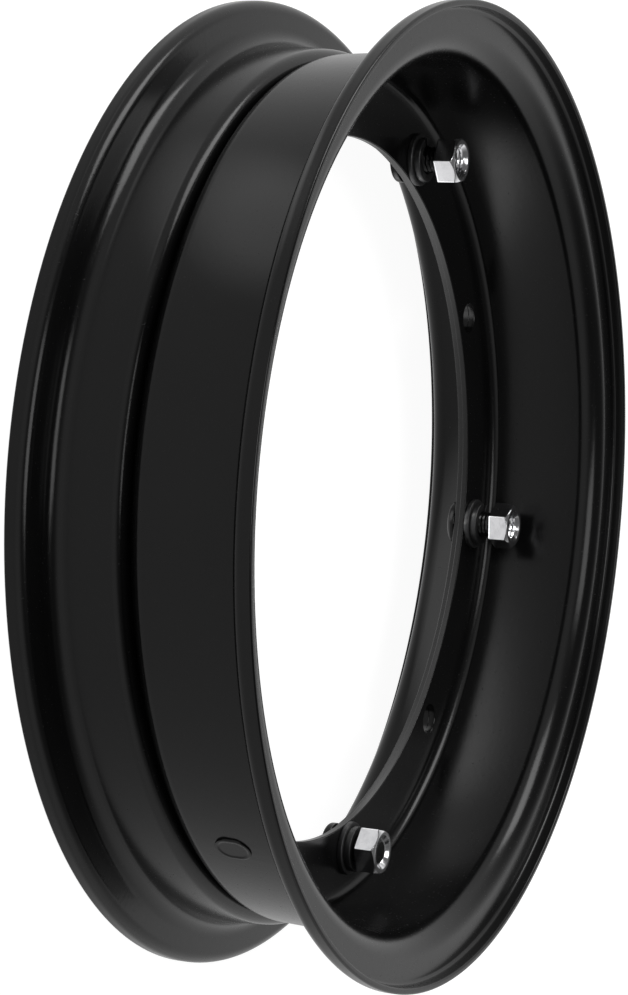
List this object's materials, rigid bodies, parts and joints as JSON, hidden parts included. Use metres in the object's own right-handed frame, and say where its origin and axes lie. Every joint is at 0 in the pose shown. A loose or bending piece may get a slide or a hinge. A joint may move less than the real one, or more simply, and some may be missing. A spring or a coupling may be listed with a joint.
{
  "type": "split rim wheel",
  "caption": "Two-piece pressed steel scooter rim with turned lips, bolted through its inner flanges by studs with washers and tall nuts, open at the centre for a hub.",
  "frame": {"origin": "on the axle line, in the plane of the narrow half's outer flange face, where the hub bolts on", "axes": "+Z along the axle line towards the wide half's lip, +X through the first joining stud, +Y a quarter turn on from it, 13 degrees short of the valve hole"},
  "size_m": [0.2818, 0.2818, 0.069],
  "materials": {
    "black_enamel": "semi-gloss black stove enamel",
    "nut_chrome": "bright plated",
    "dark_steel": "blackened steel"
  },
  "bodies": {
    "root": {"wide_half": "black_enamel", "narrow_half": "black_enamel", "stud_1": "black_enamel", "washer_1": "dark_steel", "spring_washer_1": "dark_steel", "nut_1": "nut_chrome", "stud_2": "black_enamel", "washer_2": "dark_steel", "spring_washer_2": "dark_steel", "nut_2": "nut_chrome", "stud_3": "black_enamel", "washer_3": "dark_steel", "spring_washer_3": "dark_steel", "nut_3": "nut_chrome", "stud_4": "black_enamel", "washer_4": "dark_steel", "spring_washer_4": "dark_steel", "nut_4": "nut_chrome", "stud_5": "black_enamel", "washer_5": "dark_steel", "spring_washer_5": "dark_steel", "nut_5": "nut_chrome"}
  },
  "joints": []
}
